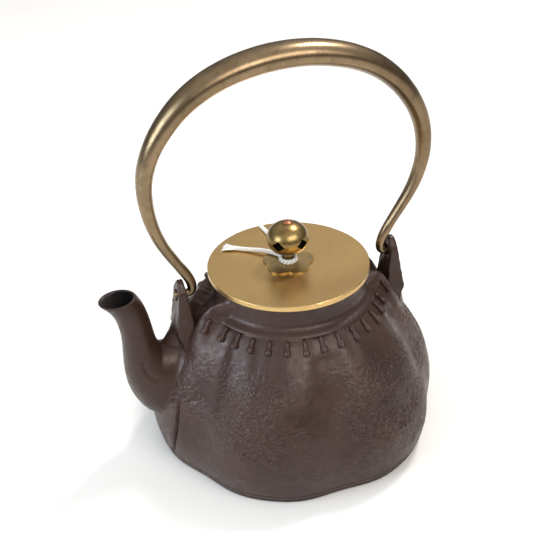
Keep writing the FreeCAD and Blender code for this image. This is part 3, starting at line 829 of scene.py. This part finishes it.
def root_fillet(rings, centre):
    """Flares the spout's root so that it grows out of the body's wall."""
    gap, _ = body_clearance(rings)
    size = FILLET_BOTTOM + (FILLET_TOP - FILLET_BOTTOM) * rise(rings[..., 2], *FILLET_GROWTH)
    depth = np.clip(size - gap, 0, size)
    flare = size - np.sqrt(np.maximum(size ** 2 - depth ** 2, 0))
    outward = rings - centre[:, None, :]
    outward[..., 0] *= FILLET_FORWARD
    flared = rings + unit(outward) * flare[..., None]
    _, surface = body_clearance(flared)
    wanted = np.maximum(surface + np.maximum(gap, -FILLET_SINK), np.abs(flared[..., 1]) + 1)
    settled = -np.sqrt(wanted ** 2 - flared[..., 1] ** 2)
    near = rise(gap, size * FILLET_REACH, 0)
    flared[..., 0] += (settled - flared[..., 0]) * near
    return flared


def flow_mark(rings):
    """Depth of the fold left in the casting skin on the swollen root, on the side towards -Y."""
    line = resampled(rounded(FLOW_MARK), 24)
    gap = np.linalg.norm(rings[..., None, :][..., [0, 2]] - line, axis=-1).min(axis=-1)
    return FLOW_MARK_DEPTH * np.exp(-(gap / FLOW_MARK_WIDTH) ** 2) * (rings[..., 1] < 0)


def spout_skin():
    """Rings of the outside, from inside the body's wall to the lip."""
    where = np.linspace(*SPOUT_SKIN_RUN, SPOUT_ROWS)
    rings, centre = spout_rings(*np.vstack([np.column_stack([where, 0 * where]), LIP_OUTSIDE]).T)
    sunk = np.linspace(SPOUT_ROOT_DEPTH, 0, SPOUT_ROOT_ROWS + 1)[:-1, None] * [[1, 0, 0]]
    rings = np.vstack([rings[0] + sunk[:, None, :], rings])
    centre = np.vstack([centre[0] + sunk, centre])
    rings = root_fillet(rings, centre)
    rings[..., 1] += flow_mark(rings)
    return rings


def spout_lining():
    """Rings of the passage, from the lip back into the body."""
    where = np.linspace(*SPOUT_LINING_RUN, SPOUT_LINING_ROWS)
    wall = np.linspace(SPOUT_LIP_WALL + 0.1, SPOUT_WALL, SPOUT_LINING_ROWS)
    rings, _ = spout_rings(*np.vstack([LIP_INSIDE, np.column_stack([where, wall])]).T)
    return rings


def spout(material):
    """Spout with its passage; the point attribute lining is 1 on the passage's points, where the iron
    material paints shade.
    """
    skin = spout_skin()
    shell = Shell().grid(np.vstack([skin, spout_lining()]), close_rows=True, flip=True)
    item = shell.piece("spout_skin", "kettle", "cast_iron", material, "spout")
    share = np.zeros(shell.count)
    share[skin.shape[0] * SPOUT_COLUMNS:] = 1
    item.data.attributes.new("lining", "FLOAT", "POINT").data.foreach_set("value", share)


# ---- lugs --------------------------------------------------------------------
# half of the plate's outline (sideways, height), from the foot to the point
LUG_HALF = [(12.5, 64.0), (10.2, 78.0), (8.3, 88.0), (7.4, 96.0), (7.0, 104.5), (6.2, 107.6),
            (3.6, 111.6), (1.4, 113.3)]
LUG_OUTLINE = LUG_HALF + [(-side, height) for side, height in reversed(LUG_HALF)]
LUG_COLUMNS = 240
LUG_FACE_ROWS = 34
LUG_INNER_FACE = [(64.0, 61.0), (92.0, 61.3), (104.0, 62.6), (113.4, 63.5)]
REAR_OUTER_FACE = [(64.0, 73.0), (78.0, 71.6), (92.0, 69.8), (104.0, 68.3), (113.4, 67.0)]
# extra depth of the web that runs from the spout-side lug down into the spout's root (height, depth)
SPOUT_WEB = [(64.0, 11.5), (72.0, 9.5), (76.0, 6.6), (81.0, 3.4), (88.0, 0.8), (92.0, 0.0)]
SPOUT_WEB_HALF_WIDTH = 7.0
LUG_HOLE_RADIUS = 3.4
LUG_HOLE_ROUND = 0.6
LUG_ROUND = 1.1
LUG_CORNER_STEPS = 6
# how far the foot of the plate ends up inside the wall, and the heights over which it goes there
LUG_ROOT_SINK = 0.6
LUG_ROOT_RISE = (83.0, 66.0)


def lug_rows():
    """Rings in the plate's plane from the hole to the outline, and how deep each is sunk."""
    outline = rounded(LUG_OUTLINE, 2, closed=True)
    outline = resampled(np.vstack([outline, outline[:1]]), LUG_COLUMNS + 1)[:-1]
    middle = np.array([0, PIVOT_HEIGHT])
    ray = outline - middle
    reach = np.linalg.norm(ray, axis=1, keepdims=True)
    ray = ray / reach
    corner = np.radians(np.linspace(0, 90, LUG_CORNER_STEPS))
    hole = LUG_HOLE_RADIUS + LUG_HOLE_ROUND * (1 - np.sin(corner))
    rim = LUG_ROUND * (1 - np.sin(corner))
    face = np.linspace(0, 1, LUG_FACE_ROWS)[1:-1]
    rows = [middle + ray * step for step in hole[::-1]]
    rows += [middle + ray * (hole[0] + (reach - rim[0] - hole[0]) * share) for share in face]
    rows += [middle + ray * (reach - step) for step in rim]
    sinks = [LUG_HOLE_ROUND * (1 - np.cos(corner[::-1])), 0 * face, LUG_ROUND * (1 - np.cos(corner))]
    return np.array(rows), np.concatenate(sinks)[:, None]


def plate_face(line, rows):
    """A face's distance from the axis for every point, from its (height, distance) line."""
    return spline(*np.array(line).T, rows[..., 1].ravel()).reshape(rows.shape[:2])


def lug_root(rows, outer_x):
    """Lets the plate's outer face run out softly into the body's wall at its foot."""
    side, height = rows[..., 0], rows[..., 1]
    half_width = np.interp(height, *np.array(LUG_HALF[:4]).T[::-1])
    share = rise(height, *LUG_ROOT_RISE) * rise(np.abs(side) / half_width, 0.35, 1)
    around = np.degrees(np.arctan2(side, outer_x))
    level = np.clip(height, WALL_FOOT, WALL_TOP)
    wall = outer_radius(level.ravel(), around.ravel()).reshape(height.shape)
    wall_x = np.sqrt(np.maximum((wall - LUG_ROOT_SINK) ** 2 - side ** 2, 1))
    return outer_x + share * (wall_x - outer_x)


def lug_mesh(web, direction):
    """Plate with a pointed top and a hole, as rings over its outer face and back over its inner one."""
    rows, sinks = lug_rows()
    outer_x = plate_face(REAR_OUTER_FACE, rows) - sinks
    if web:
        depth = np.interp(rows[..., 1], *np.array(SPOUT_WEB).T)
        outer_x += depth * (1 - smooth_step(np.abs(rows[..., 0]) / SPOUT_WEB_HALF_WIDTH))
    outer_x = lug_root(rows, outer_x)
    inner_x = plate_face(LUG_INNER_FACE, rows) + sinks
    front = np.stack([outer_x, rows[..., 0], rows[..., 1]], axis=-1)
    back = np.stack([inner_x, rows[..., 0], rows[..., 1]], axis=-1)[::-1]
    ring = np.vstack([front, back])
    ring[..., 0] *= direction
    return ring


def lug(name, node, web, direction, material):
    """One lug with an uneven cast surface; direction is 1 at the rear and -1 at the spout."""
    points = lug_mesh(web, direction)
    for point in points.reshape(-1, 3):
        spot = Vector(point)
        point[0] += noise.noise(spot * 0.22) * 0.35 + noise.noise(spot * 0.7) * 0.08
        point[1] += noise.noise(spot * 0.2 + Vector((5, 0, 0))) * 0.3
    shell = Shell().grid(points, close_rows=True, flip=direction > 0)
    shell.piece(name, "kettle", "cast_iron", material, node)


# ---- handle ------------------------------------------------------------------
ARCH_HALF = [(59.6, 112.6), (63.4, 120.0), (73.9, 138.0), (81.2, 160.0), (80.3, 183.0),
             (69.4, 205.0), (51.5, 222.0), (30.0, 231.6)]
ARCH_CROWN_HEIGHT = 235.8
ARCH_SKEW = 2.4
ARCH_SKEW_START = 125.0
ARCH_SKEW_END = 155.0
TUBE_END_SHARE = 0.025
END_THICKNESS = 2.9
CROWN_THICKNESS = 7.4
END_WIDTH = 3.0
CROWN_WIDTH = 9.4
SWELL_POWER = 1.6
ARCH_ROWS = 321
ARCH_COLUMNS = 56
ARCH_SAMPLES = 1200
# share of a row between the end rings, which keeps the ends' edges crisp
CRISP_SHARE = 0.03
# the hook's line (distance from the axis, height, radius)
HOOK_POINTS = [(58.9, 110.2, 2.8), (58.6, 107.4, 2.7), (59.3, 105.2, 2.5), (61.2, 104.15, 2.4),
               (64.5, 104.0, 2.3), (68.8, 104.0, 2.1)]


def arch_line(count):
    """Even points along the whole arch, from the rear end to the spout end."""
    points = ARCH_HALF + [(0.0, ARCH_CROWN_HEIGHT)] + [(-x, z) for x, z in reversed(ARCH_HALF)]
    points = np.array(points)
    skew = (points[:, 1] - ARCH_SKEW_START) / (ARCH_SKEW_END - ARCH_SKEW_START)
    points[:, 0] += ARCH_SKEW * np.clip(skew, 0, 1)
    along = np.concatenate([[0], np.cumsum(np.linalg.norm(np.diff(points, axis=0), axis=1))])
    dense = spline(along, points, np.linspace(0, along[-1], ARCH_SAMPLES))
    return resampled(dense, count)


def handle_tube(material):
    """The arch, flattened a little inside and with faint edges, swelling towards its crown."""
    line = arch_line(ARCH_ROWS)
    share = np.linspace(0, 1, ARCH_ROWS)
    keep = (share >= TUBE_END_SHARE) & (share <= 1 - TUBE_END_SHARE)
    swell = np.sin(math.pi * share) ** SWELL_POWER
    thickness = END_THICKNESS + (CROWN_THICKNESS - END_THICKNESS) * swell
    width = END_WIDTH + (CROWN_WIDTH - END_WIDTH) * swell
    along = unit(np.gradient(line, axis=0))
    inward = np.column_stack([-along[:, 1], along[:, 0]])
    angles = np.linspace(0, 2 * math.pi, ARCH_COLUMNS, endpoint=False)
    inside = np.clip(np.cos(angles), 0, 1)
    flatness = 1 - 0.10 * smooth_step(inside)
    edge = 1 + 0.05 * np.exp(-((inside - 0.42) / 0.2) ** 2)
    rings = []
    for i in np.flatnonzero(keep):
        depth = thickness[i] * np.cos(angles) * flatness
        x = line[i, 0] + inward[i, 0] * depth
        z = line[i, 1] + inward[i, 1] * depth
        y = width[i] * np.sin(angles) * edge
        rings.append(np.column_stack([x, y, z]))
    rings = np.array(rings)
    for i in range(rings.shape[0]):
        for j in range(rings.shape[1]):
            spot = Vector(rings[i, j])
            rings[i, j] += 0.10 * noise.noise(spot * 0.09) * unit(rings[i, j] - rings[i].mean(axis=0))
    first = rings[:1] + (rings[1] - rings[0]) * CRISP_SHARE
    last = rings[-1:] + (rings[-2] - rings[-1]) * CRISP_SHARE
    rings = np.vstack([rings[:1], first, rings[1:-1], last, rings[-1:]])
    shell = Shell().grid(rings, cap_start=True, cap_end=True)
    shell.piece("handle_arch", "handle", "handle_bronze", material, "handle_tube")


def hook(name, node, direction, material):
    """Solid tapered end of the handle, bent outwards through the lug's hole."""
    line = arch_line(ARCH_ROWS)
    start = round(TUBE_END_SHARE * (ARCH_ROWS - 1))
    lead = [(*line[start + 3], END_THICKNESS), (*line[start], END_THICKNESS + 0.1)]
    points = np.array(lead + HOOK_POINTS)
    along = np.concatenate([[0], np.cumsum(np.linalg.norm(np.diff(points[:, :2], axis=0), axis=1))])
    dense = spline(along, points, np.linspace(0, along[-1], 70))
    tip = dense[-1].copy()
    ends = [tip + (0.5, 0, 0) + (0, 0, -0.45), tip + (0.8, 0, 0) + (0, 0, -1.2)]
    dense = np.vstack([dense, ends])
    path = np.column_stack([dense[:, 0] * direction, np.zeros(len(dense)), dense[:, 1]])
    shell = Shell().grid(tube(path, dense[:, 2], 28), cap_start=True, cap_end=True)
    shell.piece(name, "handle", "handle_bronze", material, node)


# ---- stage -------------------------------------------------------------------
FLOOR_HALF_SIZE = 6.0


def make_floor():
    mesh = bpy.data.meshes.new("floor")
    size = FLOOR_HALF_SIZE
    corners = [(-size, -size, 0), (size, -size, 0), (size, size, 0), (-size, size, 0)]
    mesh.from_pydata(corners, [], [(0, 1, 2, 3)])
    mesh.materials.append(plain_floor())
    item = bpy.data.objects.new("floor", mesh)
    bpy.context.scene.collection.objects.link(item)


def area_light(name, place, target, size, power, colour):
    data = bpy.data.lights.new(name, "AREA")
    data.shape = "RECTANGLE"
    data.size, data.size_y = size
    data.energy = power
    data.color = colour
    item = bpy.data.objects.new(name, data)
    item.location = place
    item.rotation_mode = "QUATERNION"
    item.rotation_quaternion = (Vector(target) - Vector(place)).to_track_quat("-Z", "Y")
    bpy.context.scene.collection.objects.link(item)


SKY_STRENGTH = 0.74
# the sky's colour from the horizon, and all that is below it, up to straight overhead
SKY_STOPS = ((0.0, (0.13, 0.11, 0.10, 1)), (0.16, (0.20, 0.18, 0.17, 1)), (0.42, (0.62, 0.61, 0.59, 1)),
             (1.0, (1.25, 1.24, 1.22, 1)))


def make_world():
    """Bright ceiling that darkens towards the horizon, so that metal shows its form."""
    world = bpy.data.worlds.new("studio")
    world.use_nodes = True
    tree = world.node_tree
    place = tree.nodes.new("ShaderNodeTexCoord")
    split = tree.nodes.new("ShaderNodeSeparateXYZ")
    tree.links.new(place.outputs["Generated"], split.inputs[0])
    ramp = tree.nodes.new("ShaderNodeValToRGB")
    tree.links.new(split.outputs["Z"], ramp.inputs["Fac"])
    while len(ramp.color_ramp.elements) < len(SKY_STOPS):
        ramp.color_ramp.elements.new(0.5)
    for element, (position, colour) in zip(ramp.color_ramp.elements, SKY_STOPS):
        element.position = position
        element.color = colour
    tree.links.new(ramp.outputs["Color"], tree.nodes["Background"].inputs["Color"])
    tree.nodes["Background"].inputs["Strength"].default_value = SKY_STRENGTH
    bpy.context.scene.world = world


def make_lights():
    make_world()
    area_light("window", (-1.5, -0.2, 0.8), (0, 0, 0.05), (0.9, 0.7), 17.0, (0.76, 0.89, 1.0))
    area_light("ceiling", (0.8, 0.45, 1.5), (0, 0, 0.05), (0.3, 0.3), 14.0, (1.0, 0.96, 0.91))
    area_light("front", (0.25, -1.1, 1.15), (0, 0, 0.08), (1.2, 0.6), 11.0, (1.0, 0.94, 0.88))
    view = bpy.context.scene.view_settings
    view.view_transform = "Standard"
    view.look = "None"
    view.exposure = 0.0


# ---- everything --------------------------------------------------------------
def paint(node, material):
    """Gives a CAD node that is shown as it is its material."""
    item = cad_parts[node]
    item.data.materials.clear()
    item.data.materials.append(material)


def make_everything():
    make_camera()
    string = cotton("string_cotton")
    tuft = frayed_end(string)
    string_tail("string_front_tail", FRONT_TAIL, "tie_string_front_tail", string)
    string_tail("string_back_tail", BACK_TAIL, "tie_string_back_tail", string)
    string_loop(string)
    iron = cast_iron("iron_skin", (0.053, 0.028, 0.022), (0.030, 0.0155, 0.0125), 1.0)
    smooth_iron = cast_iron("iron_smooth", (0.042, 0.021, 0.015), (0.027, 0.013, 0.009), 0.25)
    kettle_body(iron)
    base_plate(iron)
    spout(smooth_iron)
    lug("spout_side_lug_skin", "spout_side_lug", True, -1, smooth_iron)
    lug("rear_lug_skin", "rear_lug", False, 1, smooth_iron)
    bronze = brass("aged_bronze", (0.28, 0.20, 0.118), (0.16, 0.113, 0.066), 0.26, 0.6, 0.00002)
    handle_tube(bronze)
    hook("spout_side_hook_bar", "spout_side_hook", -1, bronze)
    hook("rear_hook_bar", "rear_hook", 1, bronze)
    lid = brass("lid_brass", (0.66, 0.45, 0.195), (0.60, 0.40, 0.17), 0.27, 0.1)
    for node in ("lid_plate", "lid_collar"):
        paint(node, lid)
    # the last argument paints shade inside the knob's shell
    knob = brass("knob_brass", (0.36, 0.25, 0.10), (0.23, 0.155, 0.058), 0.24, 0.5, 0.00002, True)
    for node in ("knob_sleeve", "knob_lower_shell", "knob_upper_shell"):
        paint(node, knob)
    paint("flower_washer", brass("flower_brass", (0.52, 0.38, 0.18), (0.36, 0.26, 0.12), 0.28, 0.6))
    rivet = copper("rivet_copper")
    for node in ("knob_rivet", "rivet_washer"):
        paint(node, rivet)
    make_floor()
    make_lights()


make_everything()
